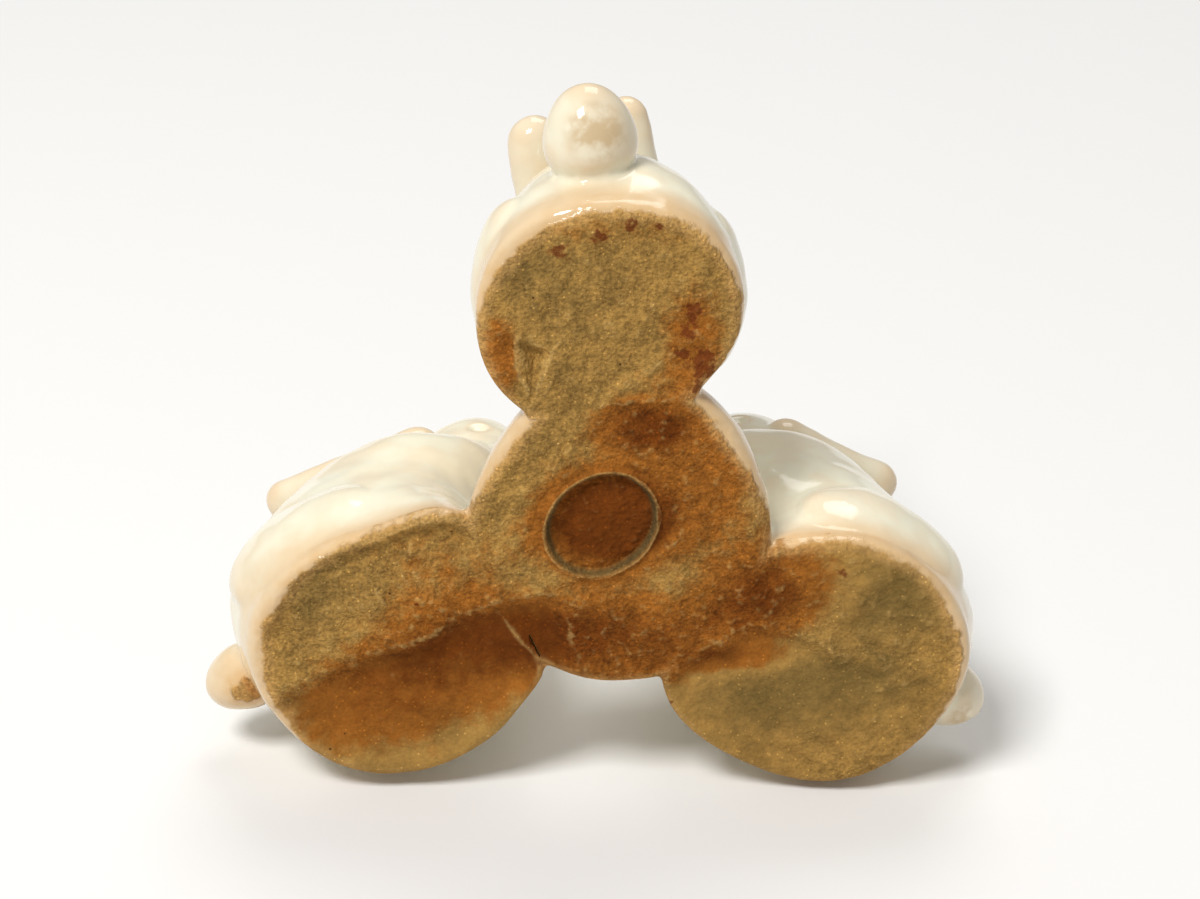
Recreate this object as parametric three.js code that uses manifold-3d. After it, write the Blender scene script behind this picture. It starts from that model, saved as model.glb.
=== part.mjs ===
// Ceramic lid rest: three seated rabbits luted round a small disc, facing each other, rumps outward.
// Millimetres, +Z up, feet on Z = 0. The lid lies on the three head tops.
// Each figure is built with its tail towards +X, U being the distance from the rest's axis, and then turned.
import * as THREE from "three";
import { mergeVertices } from "three/addons/utils/BufferGeometryUtils.js";
import Module from "manifold-3d";

// Driving dimensions
const HEIGHT = 38;
const RING_RADIUS = 22;
const CLEARANCE = 0.3;

// Disc that ties the figures together, with the bare oval of a potter's seal pressed into its underside.
// It was pressed out by hand, so it lies off the axis and swells towards the first figure.
const DISC_RADIUS = 13.3;
const DISC_SHIFT = [0.9, 0.7];
const DISC_SWELL = { towards: -84, spread: 46, amount: 4.2 };
const DISC_THICKNESS = 4.4;
const DISC_EDGE_RADIUS = 1.4;
const STAMP_LENGTH = 11.4;
const STAMP_WIDTH = 9.8;
const STAMP_DEPTH = 0.7;
const STAMP_DRAFT = 0.5;
const STAMP_TURN = -50;
const STAMP_CENTRE = [-0.4, -2.4];

// Body: a squarish foot, then hip, waist, shoulder and neck, which lean in from the foot's centre.
// Shoulder and neck carry the head, so their levels are measured down from the top, as the head's is.
const HIP_HEIGHT = 7.5;
const WAIST_HEIGHT = 15;
const SHOULDER_DROP = 16;
const NECK_DROP = 9.5;
const FOOT_EDGE_RADIUS = 1.2;
const NECK_EDGE_RADIUS = 4;
const FOOT_SQUARENESS = 0.2;

// Head: skull and muzzle, with a small flat ground on top for the lid
const MUZZLE_REACH = 5;
const MUZZLE_DROP = 3.2;
const MUZZLE_RADIUS = 4;

// Ears are a little flat, and the tail's belly is drawn towards its root.
const EAR_FLATNESS = 0.86;
const TAIL_BELLY = 1.08;
const TAIL_TAPER = 0.34;

// The lumps were shaped by eye, so each figure has its own. `lean` is a place's distance in from the ring, `aside`
// its distance to the left, `drop` its depth below the top. A swell bulges an outline towards a direction in
// degrees. It spreads over some degrees and fades over some height above and below its own.
const FIGURES = [
  {
    angle: -90,
    body: {
      foot: { lean: 0.5, aside: 0.4, radial: 10.6, across: 11.4 },
      hip: { lean: 0.4, aside: 0.4, radial: 11.6, across: 10.7 },
      waist: { lean: 1.2, aside: 0.2, radial: 10.6, across: 9.6 },
      shoulder: { lean: 3, aside: -0.8, radial: 8.8, across: 8 },
      neck: { lean: 5.4, aside: -1.4, radial: 6.2, across: 5.2 },
    },
    swells: [{ towards: 125, spread: 28, height: 0, fade: 8, amount: -1.5 }],
    head: { lean: 5.6, aside: -1.4, drop: 9.4, radial: 7.2, across: 6, rise: 9.8 },
    ear_left: { lean: 5, aside: 4, drop: 9.4, length: 14.1, splay: -10.5, rise: 10, root: 2.4, tip: 2.1 },
    ear_right: { lean: 5, aside: -5, drop: 10.4, length: 12.8, splay: -8.5, rise: 4, root: 2.6, tip: 2.5 },
    tail: { lean: -9.2, aside: -1.4, height: 7.6, length: 8.6, across: 4.4, rise: 4.4 },
    haunch_left: { lean: 0.5, aside: 8.2, height: 7, radial: 7.6, across: 3.9, rise: 5.8 },
    haunch_right: { lean: 0, aside: -7.4, height: 6.6, radial: 8, across: 4.1, rise: 5.8 },
  },
  {
    angle: 30,
    body: {
      foot: { lean: -0.3, aside: 0.5, radial: 12.4, across: 12.8 },
      hip: { lean: -1.2, aside: 0.2, radial: 12.6, across: 12.6 },
      waist: { lean: 1.6, aside: -0.2, radial: 11.8, across: 11.2 },
      shoulder: { lean: 3.8, aside: -0.8, radial: 10.2, across: 9 },
      neck: { lean: 5.2, aside: -0.2, radial: 6.4, across: 5 },
    },
    swells: [
      { towards: -25, spread: 30, height: 0, fade: 8, amount: 0.5 },
      { towards: 140, spread: 28, height: 0, fade: 8, amount: 1.4 },
      { towards: -128, spread: 25, height: 0, fade: 8, amount: -0.6 },
    ],
    head: { lean: 5.2, aside: 0.1, drop: 9.6, radial: 7.2, across: 5.7, rise: 10 },
    ear_left: { lean: 4, aside: 3.9, drop: 9, length: 12, splay: 9, rise: 6, root: 2.6, tip: 2.3 },
    ear_right: { lean: 4.4, aside: -5, drop: 9.2, length: 11.8, splay: -4, rise: 2, root: 2.7, tip: 2.4 },
    tail: { lean: -11.6, aside: 0.7, height: 7.4, length: 7, across: 3.5, rise: 3.3 },
    haunch_left: { lean: -0.6, aside: 9.8, height: 7, radial: 8.6, across: 4.1, rise: 6.2 },
    haunch_right: { lean: -1, aside: -9.2, height: 6.4, radial: 8.6, across: 4.1, rise: 6.2 },
  },
  {
    angle: 150,
    body: {
      foot: { lean: -0.3, aside: -0.3, radial: 12.2, across: 12.3 },
      hip: { lean: -1.8, aside: 0.6, radial: 12.8, across: 12 },
      waist: { lean: -1.2, aside: 1.4, radial: 12, across: 10.6 },
      shoulder: { lean: 1.4, aside: 1.4, radial: 10.6, across: 9.2 },
      neck: { lean: 5, aside: -0.4, radial: 6.4, across: 4.8 },
    },
    swells: [
      { towards: 145, spread: 20, height: 0, fade: 9, amount: 3.6 },
      { towards: -145, spread: 13, height: 0, fade: 8, amount: 1.3 },
      { towards: 45, spread: 30, height: 11, fade: 7, amount: 0.9 },
    ],
    head: { lean: 5.4, aside: -0.7, drop: 9.8, radial: 7.2, across: 5.4, rise: 10.2 },
    ear_left: { lean: 3.6, aside: 4.9, drop: 9.4, length: 16.3, splay: 5, rise: 3, root: 2.6, tip: 2.4 },
    ear_right: { lean: 4, aside: -3.9, drop: 9, length: 13, splay: -9, rise: 6, root: 2.6, tip: 2.3 },
    tail: { lean: -12.7, aside: 1, height: 8.6, length: 7.2, across: 3.5, rise: 3.4 },
    haunch_left: { lean: -3, aside: 9.6, height: 7.4, radial: 8.6, across: 4.2, rise: 6.4 },
    haunch_right: { lean: -0.6, aside: -8.6, height: 7, radial: 8.6, across: 4.1, rise: 6.2 },
  },
];

// Facets
const ROUND_FACETS = 20;
const RING_FACETS = 12;
const FINGER_FACETS = 12;
const BODY_RINGS = 12;
const BODY_FACETS = 32;
const EDGE_FACETS = 3;

const wasm = await Module();
wasm.setup();

const glaze = { color: 0xe2d3b4, roughness: 0.22, metalness: 0 };
const bareClay = { color: 0x9a7138, roughness: 0.85, metalness: 0 };
const radians = THREE.MathUtils.degToRad;
const degrees = THREE.MathUtils.radToDeg;

// A closed geometry as a solid that can be joined and cut.
function solidOf(geometry) {
  const bare = geometry.clone();
  bare.deleteAttribute("normal");
  bare.deleteAttribute("uv");
  const merged = mergeVertices(bare, 1e-4);
  return new wasm.Manifold(
    new wasm.Mesh({
      numProp: 3,
      vertProperties: merged.attributes.position.array,
      triVerts: new Uint32Array(merged.index.array),
    }),
  );
}

// A solid as a named mesh.
function meshOf(name, solid, finish) {
  const made = solid.getMesh();
  const geometry = new THREE.BufferGeometry();
  geometry.setAttribute("position", new THREE.BufferAttribute(made.vertProperties, 3));
  geometry.setIndex(new THREE.BufferAttribute(made.triVerts, 1));
  geometry.computeVertexNormals();
  const mesh = new THREE.Mesh(geometry, new THREE.MeshStandardMaterial(finish));
  mesh.name = name;
  return mesh;
}

// An ellipsoid, its half sizes grown by a clearance.
function ellipsoid(centre, half, grow) {
  const geometry = new THREE.SphereGeometry(1, ROUND_FACETS, RING_FACETS);
  geometry.scale(half[0] + grow, half[1] + grow, half[2] + grow);
  geometry.translate(...centre);
  return solidOf(geometry);
}

// A box that takes away everything above a level.
function spaceAbove(level) {
  const size = 4 * RING_RADIUS;
  const geometry = new THREE.BoxGeometry(size, size, size);
  geometry.translate(RING_RADIUS, 0, level + size / 2);
  return solidOf(geometry);
}

// How far a swell moves an outline out in a direction.
function swellAt(swell, turn, level) {
  const off = THREE.MathUtils.euclideanModulo(degrees(turn) - swell.towards + 180, 360) - 180;
  const fading = swell.fade ? ((level - swell.height) / swell.fade) ** 2 : 0;
  return swell.amount * Math.exp(-((off / swell.spread) ** 2) - fading);
}

// A closed loft through level outlines. Each has its level, its middle and its reach in a direction.
function loftSolid(outlines, facets) {
  const positions = [];
  const faces = [];
  for (const { level, middle, reach } of outlines) {
    for (let i = 0; i < facets; i++) {
      const turn = (2 * Math.PI * i) / facets;
      positions.push(middle[0] + reach(turn) * Math.cos(turn), middle[1] + reach(turn) * Math.sin(turn), level);
    }
  }
  for (let ring = 0; ring < outlines.length - 1; ring++) {
    for (let i = 0; i < facets; i++) {
      const a = ring * facets + i;
      const b = ring * facets + ((i + 1) % facets);
      faces.push(a, b, b + facets, a, b + facets, a + facets);
    }
  }
  const last = (outlines.length - 1) * facets;
  for (let i = 1; i < facets - 1; i++) {
    faces.push(0, i + 1, i);
    faces.push(last, last + i, last + i + 1);
  }
  const geometry = new THREE.BufferGeometry();
  geometry.setAttribute("position", new THREE.Float32BufferAttribute(positions, 3));
  geometry.setIndex(faces);
  return solidOf(geometry);
}

// Foot, hip, waist, shoulder and neck as a loft on one smooth curve, its foot's and neck's edges rounded.
function bodySolid(figure, grow) {
  const shoulderHeight = HEIGHT - SHOULDER_DROP;
  const neckHeight = HEIGHT - NECK_DROP;
  const heights = [0, HIP_HEIGHT, WAIST_HEIGHT, shoulderHeight, neckHeight];
  const stations = ["foot", "hip", "waist", "shoulder", "neck"].map((name) => figure.body[name]);
  const places = new THREE.SplineCurve(stations.map(({ lean, aside }) => new THREE.Vector2(RING_RADIUS - lean, aside)));
  const sizes = new THREE.SplineCurve(stations.map(({ radial, across }) => new THREE.Vector2(radial, across)));
  const outlineAt = (height, level, inset) => {
    const next = Math.max(1, heights.findIndex((top) => top >= height - 1e-9));
    const share = (height - heights[next - 1]) / (heights[next] - heights[next - 1]);
    const along = (next - 1 + share) / (heights.length - 1);
    const middle = places.getPoint(along);
    const half = sizes.getPoint(along);
    const power = 2 + FOOT_SQUARENESS * Math.max(0, 1 - height / shoulderHeight);
    const reach = (turn) => {
      const x = Math.abs(Math.cos(turn)) / half.x;
      const y = Math.abs(Math.sin(turn)) / half.y;
      const swelling = figure.swells.reduce((sum, swell) => sum + swellAt(swell, turn, height), 0);
      return (x ** power + y ** power) ** (-1 / power) + swelling - inset + grow;
    };
    return { level, middle: [middle.x, middle.y], reach };
  };
  const outlines = [];
  for (let i = 0; i < EDGE_FACETS; i++) {
    const turn = (Math.PI / 2) * (i / EDGE_FACETS);
    const height = FOOT_EDGE_RADIUS * (1 - Math.cos(turn));
    outlines.push(outlineAt(height, i === 0 ? -grow : height, FOOT_EDGE_RADIUS * (1 - Math.sin(turn))));
  }
  for (let ring = 0; ring <= BODY_RINGS; ring++) {
    const height = FOOT_EDGE_RADIUS + ((neckHeight - FOOT_EDGE_RADIUS) * ring) / BODY_RINGS;
    outlines.push(outlineAt(height, height, 0));
  }
  for (let i = 1; i <= EDGE_FACETS; i++) {
    const turn = (Math.PI / 2) * (i / EDGE_FACETS);
    const level = neckHeight + NECK_EDGE_RADIUS * Math.sin(turn) + (grow * i) / EDGE_FACETS;
    outlines.push(outlineAt(neckHeight, level, NECK_EDGE_RADIUS * (1 - Math.cos(turn))));
  }
  return loftSolid(outlines, BODY_FACETS);
}

function headSolid({ lean, aside, drop, radial, across, rise }, grow) {
  const u = RING_RADIUS - lean;
  const z = HEIGHT - drop;
  const skull = ellipsoid([u, aside, z], [radial, across, rise], grow);
  const muzzle = ellipsoid([u - MUZZLE_REACH, aside, z - MUZZLE_DROP], Array(3).fill(MUZZLE_RADIUS), grow);
  return skull.add(muzzle);
}

// An ear is a finger with a round end: a profile from its root to its tip, turned, flattened and laid back.
function earSolid({ lean, aside, drop, length, splay, rise, root, tip }) {
  const profile = new THREE.Path();
  profile.moveTo(0, 0);
  profile.lineTo(root, 0);
  profile.lineTo(tip, length - tip);
  profile.absarc(0, length - tip, tip, 0, Math.PI / 2, false);
  const geometry = new THREE.LatheGeometry(profile.getPoints(EDGE_FACETS), FINGER_FACETS);
  geometry.rotateZ(-Math.PI / 2);
  geometry.scale(1, 1, EAR_FLATNESS);
  geometry.rotateY(-radians(rise));
  geometry.rotateZ(radians(splay));
  geometry.translate(RING_RADIUS - lean, aside, HEIGHT - drop);
  return solidOf(geometry);
}

// The tail is a blunt egg. Its outline is a half circle that tapers outward.
function tailSolid({ lean, aside, height, length, across, rise }) {
  const outline = [];
  for (let i = 0; i <= RING_FACETS; i++) {
    const turn = (Math.PI * i) / RING_FACETS;
    const share = (1 - Math.cos(turn)) / 2;
    const radius = i % RING_FACETS === 0 ? 0 : Math.sin(turn) * (TAIL_BELLY - TAIL_TAPER * share);
    outline.push(new THREE.Vector2(radius, length * share));
  }
  const geometry = new THREE.LatheGeometry(outline, FINGER_FACETS);
  geometry.rotateZ(-Math.PI / 2);
  geometry.scale(1, across, rise);
  geometry.translate(RING_RADIUS - lean, aside, height);
  return solidOf(geometry);
}

function haunchSolid({ lean, aside, height, radial, across, rise }) {
  return ellipsoid([RING_RADIUS - lean, aside, height], [radial, across, rise], 0);
}

// The disc has rounded edges, and the seal's oval recess, which is bare.
function discSolid() {
  const outlines = [];
  for (const top of [false, true]) {
    for (let i = 0; i <= EDGE_FACETS; i++) {
      const turn = (Math.PI / 2) * (top ? 1 - i / EDGE_FACETS : i / EDGE_FACETS);
      const rounded = DISC_EDGE_RADIUS * (1 - Math.cos(turn));
      const level = top ? DISC_THICKNESS - rounded : rounded;
      const inset = DISC_EDGE_RADIUS * (1 - Math.sin(turn));
      const reach = (direction) => DISC_RADIUS + swellAt(DISC_SWELL, direction, 0) - inset;
      outlines.push({ level, middle: DISC_SHIFT, reach });
    }
  }
  const recess = new THREE.CylinderGeometry(
    STAMP_WIDTH / 2 - STAMP_DRAFT, STAMP_WIDTH / 2 + STAMP_DRAFT, 2 * STAMP_DEPTH, 2 * ROUND_FACETS,
  );
  recess.rotateX(Math.PI / 2);
  recess.scale(STAMP_LENGTH / STAMP_WIDTH, 1, 1);
  recess.rotateZ(radians(STAMP_TURN));
  recess.translate(...STAMP_CENTRE, 0);
  return loftSolid(outlines, 2 * ROUND_FACETS).subtract(solidOf(recess));
}

const group = new THREE.Group();
let disc = discSolid();

FIGURES.forEach((figure, i) => {
  const headRoom = headSolid(figure.head, CLEARANCE);
  const bodyRoom = bodySolid(figure, CLEARANCE);
  disc = disc.subtract(bodyRoom.rotate([0, 0, figure.angle]));
  const pieces = {
    body: bodySolid(figure, 0).subtract(headRoom),
    head: headSolid(figure.head, 0).subtract(spaceAbove(HEIGHT)),
    ear_left: earSolid(figure.ear_left).subtract(headRoom).subtract(bodyRoom),
    ear_right: earSolid(figure.ear_right).subtract(headRoom).subtract(bodyRoom),
    tail: tailSolid(figure.tail).subtract(bodyRoom),
    haunch_left: haunchSolid(figure.haunch_left).subtract(bodyRoom),
    haunch_right: haunchSolid(figure.haunch_right).subtract(bodyRoom),
  };
  for (const [name, solid] of Object.entries(pieces)) {
    const mesh = meshOf(`${name}_${i + 1}`, solid, glaze);
    mesh.rotation.z = radians(figure.angle);
    group.add(mesh);
  }
});
group.add(meshOf("base_disc", disc, bareClay));

// The frame's origin is the middle of the footprint, at the level of the feet.
group.updateMatrixWorld(true);
const bounds = new THREE.Box3().setFromObject(group, true);
group.position.set(-(bounds.min.x + bounds.max.x) / 2, -(bounds.min.y + bounds.max.y) / 2, 0);

export default group;
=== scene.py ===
import math

import bmesh
import bpy
import numpy as np
from mathutils import Matrix, Vector, noise
from mathutils.bvhtree import BVHTree


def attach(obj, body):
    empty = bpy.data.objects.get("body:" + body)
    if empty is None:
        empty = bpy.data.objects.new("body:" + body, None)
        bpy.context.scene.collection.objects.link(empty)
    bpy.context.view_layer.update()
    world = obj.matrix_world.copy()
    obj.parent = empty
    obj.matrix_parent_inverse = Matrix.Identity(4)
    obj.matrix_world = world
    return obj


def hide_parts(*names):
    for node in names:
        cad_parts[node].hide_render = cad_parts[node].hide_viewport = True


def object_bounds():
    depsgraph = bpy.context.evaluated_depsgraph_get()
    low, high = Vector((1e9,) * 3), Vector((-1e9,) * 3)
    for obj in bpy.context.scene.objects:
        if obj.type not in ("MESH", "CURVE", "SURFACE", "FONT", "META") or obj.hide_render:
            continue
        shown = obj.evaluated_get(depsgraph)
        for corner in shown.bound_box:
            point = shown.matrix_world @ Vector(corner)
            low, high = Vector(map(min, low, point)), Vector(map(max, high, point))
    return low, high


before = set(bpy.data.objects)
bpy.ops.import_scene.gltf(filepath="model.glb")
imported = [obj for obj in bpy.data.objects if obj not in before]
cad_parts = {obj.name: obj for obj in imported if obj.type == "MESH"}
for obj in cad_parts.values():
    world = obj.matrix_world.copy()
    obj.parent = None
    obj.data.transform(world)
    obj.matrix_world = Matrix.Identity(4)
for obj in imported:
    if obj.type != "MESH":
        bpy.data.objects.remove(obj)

cad_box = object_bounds()

# The disc: a slab of stoneware clay, pressed out flat by hand, with a rounded edge. It ties the three figures
# together, luted to the inner side of each, and its bare underside lies in one plane with their feet.
MM = 0.001
AXIS = Vector((0.974, 7.231, 0))
DISC_SHIFT = Vector((0.9, 0.7, 0))
DISC_HALF = (13.3, 13.3)
# A swell bulges an outline: towards how many degrees, how widely, at what height, how far up and down, and
# by how much.
DISC_SWELLS = ((-84, 46, 0, 99, 4.2),)
DISC_THICKNESS = 4.4
DISC_EDGE = 1.4
EDGE_RINGS = 5
OUTLINE_POINTS = 72

# Every lump is shaped in millimetres and pressed into `clay`. Its own surface stays in `skins`, so that the
# fired whole can be told apart into its pieces again.
clay = bmesh.new()
skins = {}


def reach_at(turn, half, squareness, swells, level):
    """How far an outline reaches from its middle in a direction. It is an oval, or squarish above 2."""
    x = np.abs(np.cos(turn)) / half[0]
    y = np.abs(np.sin(turn)) / half[1]
    reach = (x ** squareness + y ** squareness) ** (-1 / squareness)
    for towards, spread, middle, fade, amount in swells:
        off = (np.degrees(turn) - towards + 180) % 360 - 180
        reach = reach + amount * np.exp(-(off / spread) ** 2 - ((level - middle) / fade) ** 2)
    return reach


def add_ring(form, centre, half, level, inset=0, squareness=2, swells=()):
    """Adds one level of a lump."""
    for vertex in bmesh.ops.create_circle(form, segments=OUTLINE_POINTS, radius=1)["verts"]:
        turn = math.atan2(vertex.co.y, vertex.co.x)
        reach = reach_at(turn, half, squareness, swells, level) - inset
        vertex.co = (centre[0] + reach * math.cos(turn), centre[1] + reach * math.sin(turn), level)


def skin_over(form):
    """Bridges the levels of a lump and closes its bottom and top."""
    bmesh.ops.bridge_loops(form, edges=form.edges)
    bmesh.ops.holes_fill(form, edges=[edge for edge in form.edges if edge.is_boundary], sides=0)


def press(label, form, matrix):
    """Adds a closed lump to the clay under its piece's name."""
    bmesh.ops.transform(form, matrix=matrix, verts=form.verts)
    bmesh.ops.recalc_face_normals(form, faces=form.faces)
    skins.setdefault(label, []).append(BVHTree.FromBMesh(form))
    mesh = bpy.data.meshes.new(label)
    form.to_mesh(mesh)
    clay.from_mesh(mesh)
    bpy.data.meshes.remove(mesh)
    form.free()


quarter = [math.pi / 2 * ring / EDGE_RINGS for ring in range(EDGE_RINGS + 1)]
disc = bmesh.new()
for turn in quarter:
    add_ring(disc, (0, 0), DISC_HALF, DISC_EDGE * (1 - math.cos(turn)), DISC_EDGE * (1 - math.sin(turn)),
             swells=DISC_SWELLS)
for turn in reversed(quarter):
    add_ring(disc, (0, 0), DISC_HALF, DISC_THICKNESS - DISC_EDGE * (1 - math.cos(turn)),
             DISC_EDGE * (1 - math.sin(turn)), swells=DISC_SWELLS)
skin_over(disc)
press("base_disc", disc, Matrix.Translation(AXIS + DISC_SHIFT))

# Bodies: each is one lump of clay, pinched up from a flat foot through hip, waist and shoulder to the neck.
# They sit round the disc with their tails outward. They were shaped by eye, so no two are alike.
RING_RADIUS = 22
ANGLES = {1: -90, 2: 30, 3: 150}
BODY_HEIGHTS = (0, 7.5, 15, 22, 28.5)
# A figure is shaped with its tail towards +X and then turned into its place. For each height, a body says how
# far its middle lies in from the ring and aside, and its half sizes.
BODIES = {
    1: (
        (0.5, 0.4, 10.6, 11.4),
        (0.4, 0.4, 11.6, 10.7),
        (1.2, 0.2, 10.6, 9.6),
        (3.0, -0.8, 8.8, 8.0),
        (5.4, -1.4, 6.2, 5.2),
    ),
    2: (
        (-0.3, 0.5, 12.4, 12.8),
        (-1.2, 0.2, 12.6, 12.6),
        (1.6, -0.2, 11.8, 11.2),
        (3.8, -0.8, 10.2, 9.0),
        (5.2, -0.2, 6.4, 5.0),
    ),
    3: (
        (-0.3, -0.3, 12.2, 12.3),
        (-1.8, 0.6, 12.8, 12.0),
        (-1.2, 1.4, 12.0, 10.6),
        (1.4, 1.4, 10.6, 9.2),
        (5.0, -0.4, 6.4, 4.8),
    ),
}
BODY_SWELLS = {
    1: ((125, 28, 0, 8, -1.5),),
    2: ((-25, 30, 0, 8, 0.5), (140, 28, 0, 8, 1.4), (-128, 25, 0, 8, -0.6)),
    3: ((145, 20, 0, 9, 3.6), (-145, 13, 0, 8, 1.3), (45, 30, 11, 7, 0.9)),
}
FOOT_EDGE = 0.9
FOOT_SQUARENESS = 0.2
NECK_EDGE = 4
BODY_RINGS = 28


def stand(figure):
    """Turns a lump that was shaped with its tail towards +X into its figure's place round the axis."""
    return Matrix.Translation(AXIS) @ Matrix.Rotation(math.radians(ANGLES[figure]), 4, "Z")


def along(stations, place):
    """A smooth curve through the stations, by the Catmull-Rom rule. Place 1.5 is midway from 1 to 2."""
    last = len(stations) - 1
    index = min(int(place), last - 1)
    t = place - index
    before, first, second, after = (
        Vector(stations[min(max(index + beyond, 0), last)]) for beyond in (-1, 0, 1, 2)
    )
    return 0.5 * (
        2 * first
        + (second - before) * t
        + (2 * before - 5 * first + 4 * second - after) * t * t
        + (3 * first - before - 3 * second + after) * t ** 3
    )


levels = [(FOOT_EDGE * (1 - math.cos(turn)), FOOT_EDGE * (1 - math.sin(turn))) for turn in quarter[:-1]]
levels += [
    (FOOT_EDGE + (BODY_HEIGHTS[-1] - FOOT_EDGE) * ring / BODY_RINGS, 0) for ring in range(BODY_RINGS + 1)
]
for figure, stations in BODIES.items():
    body = bmesh.new()
    for level, inset in levels:
        place = float(np.interp(level, BODY_HEIGHTS, range(len(BODY_HEIGHTS))))
        lean, aside, radial, across = along(stations, place)
        squareness = 2 + FOOT_SQUARENESS * max(0, 1 - level / BODY_HEIGHTS[3])
        add_ring(body, (RING_RADIUS - lean, aside), (radial, across), level, inset, squareness,
                 BODY_SWELLS[figure])
    for turn in quarter[1:]:
        level = BODY_HEIGHTS[-1] + NECK_EDGE * math.sin(turn)
        inset = NECK_EDGE * (1 - math.cos(turn))
        add_ring(body, (RING_RADIUS - lean, aside), (radial, across), level, inset)
    skin_over(body)
    press(f"body_{figure}", body, stand(figure))

# Haunches: a pad of the same clay on each flank, low down, where the hind leg folds.
# It was pressed on and smoothed in with slip, so only a soft crease shows round it.
HAUNCHES = {
    ("haunch_left", 1): ((-0.5, 8.2, 7.0), (7.6, 3.9, 5.8)),
    ("haunch_right", 1): ((0.0, -7.4, 6.6), (8.0, 4.1, 5.8)),
    ("haunch_left", 2): ((0.6, 9.8, 7.0), (8.6, 4.1, 6.2)),
    ("haunch_right", 2): ((1.0, -9.2, 6.4), (8.6, 4.1, 6.2)),
    ("haunch_left", 3): ((3.0, 9.6, 7.4), (8.6, 4.2, 6.4)),
    ("haunch_right", 3): ((0.6, -8.6, 7.0), (8.6, 4.1, 6.2)),
}
BALL_POINTS = (48, 32)


def ball(centre, half):
    """A lump rolled into an ellipsoid."""
    form = bmesh.new()
    bmesh.ops.create_uvsphere(form, u_segments=BALL_POINTS[0], v_segments=BALL_POINTS[1], radius=1)
    bmesh.ops.scale(form, vec=half, verts=form.verts)
    bmesh.ops.translate(form, vec=centre, verts=form.verts)
    return form


for (name, figure), ((reach, aside, height), half) in HAUNCHES.items():
    press(f"{name}_{figure}", ball((RING_RADIUS + reach, aside, height), half), stand(figure))

# Heads: a rolled egg of clay luted on the shoulders, with a pinched muzzle towards the axis and shallow eyes.
# The three were pressed flat on a board while soft, so that a lid lies level on them.
HEIGHT = 38
HEADS = {
    1: ((5.6, -1.4, 9.4), (7.2, 6.0, 9.8)),
    2: ((5.2, 0.1, 9.6), (7.2, 5.7, 10.0)),
    3: ((5.4, -0.7, 9.8), (7.2, 5.4, 10.2)),
}
MUZZLE_REACH = 5
MUZZLE_DROP = 3.2
MUZZLE_HALF = (4.0, 4.0, 4.0)
EYE_TURN = math.radians(52)
EYE_RISE = math.radians(14)
EYE_RADIUS = 0.85
EYE_DEPTH = 0.5

eyes = []
for figure, ((lean, aside, drop), half) in HEADS.items():
    centre = Vector((RING_RADIUS - lean, aside, HEIGHT - drop))
    for side in (-1, 1):
        level_reach = math.cos(EYE_RISE)
        way = (-level_reach * math.cos(EYE_TURN), side * level_reach * math.sin(EYE_TURN), math.sin(EYE_RISE))
        eyes.append(stand(figure) @ (centre + Vector(way) * Vector(half)))
    press(f"head_{figure}", ball(centre, half), stand(figure))
    press(f"head_{figure}", ball(centre - Vector((MUZZLE_REACH, 0, MUZZLE_DROP)), MUZZLE_HALF), stand(figure))

# Ears: rolled fingers of clay, a little flattened, luted to the skull and laid back with their tips free.
# Each has its root's place, its length, its splay and rise in degrees, and its radii at root and tip.
EARS = {
    ("ear_left", 1): ((5.0, 4.0, 9.4), 14.1, -10.5, 10.0, 2.4, 2.1),
    ("ear_right", 1): ((5.0, -5.0, 10.4), 12.8, -8.5, 4.0, 2.6, 2.5),
    ("ear_left", 2): ((4.0, 3.9, 9.0), 12.0, 9.0, 6.0, 2.6, 2.3),
    ("ear_right", 2): ((4.4, -5.0, 9.2), 11.8, -4.0, 2.0, 2.7, 2.4),
    ("ear_left", 3): ((3.6, 4.9, 9.4), 16.3, 5.0, 3.0, 2.6, 2.4),
    ("ear_right", 3): ((4.0, -3.9, 9.0), 13.0, -9.0, 6.0, 2.6, 2.3),
}
EAR_FLATNESS = 0.86

for (name, figure), ((lean, aside, drop), length, splay, rise, root_radius, tip_radius) in EARS.items():
    ear = ball((0, 0, 0), (1, 1, 1))
    for vertex in ear.verts:
        reach, radius = (length - tip_radius, tip_radius) if vertex.co.x > 0 else (0, root_radius)
        vertex.co = (vertex.co.x * radius + reach, vertex.co.y * radius, vertex.co.z * radius * EAR_FLATNESS)
    root = Matrix.Translation((RING_RADIUS - lean, aside, HEIGHT - drop))
    turned = Matrix.Rotation(math.radians(splay), 4, "Z") @ Matrix.Rotation(-math.radians(rise), 4, "Y")
    press(f"{name}_{figure}", ear, stand(figure) @ root @ turned)

# Tails: a small egg of clay luted low on the rump, its blunt point outward.
# Its belly is fullest at the root and tapers towards the tip.
TAILS = {
    1: ((9.2, -1.4, 7.6), 8.6, (4.4, 4.4)),
    2: ((11.6, 0.7, 7.4), 7.0, (3.5, 3.3)),
    3: ((12.7, 1.0, 8.6), 7.2, (3.5, 3.4)),
}
TAIL_BELLY = 1.08
TAIL_TAPER = 0.34

for figure, ((reach, aside, height), length, half) in TAILS.items():
    tail = ball((0, 0, 0), (1, 1, 1))
    for vertex in tail.verts:
        share = (vertex.co.x + 1) / 2
        belly = TAIL_BELLY - TAIL_TAPER * share
        vertex.co = (length * share, vertex.co.y * half[0] * belly, vertex.co.z * half[1] * belly)
    press(f"tail_{figure}", tail, stand(figure) @ Matrix.Translation((RING_RADIUS + reach, aside, height)))

# Luting: the lumps are joined with slip, a thin clay, and a wet finger smooths the seams into one skin.
# A soft crease is left where a haunch, an ear or a tail meets the body.
VOXEL = 0.28
SMOOTHING = 0.5
SMOOTHINGS = 10

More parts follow.
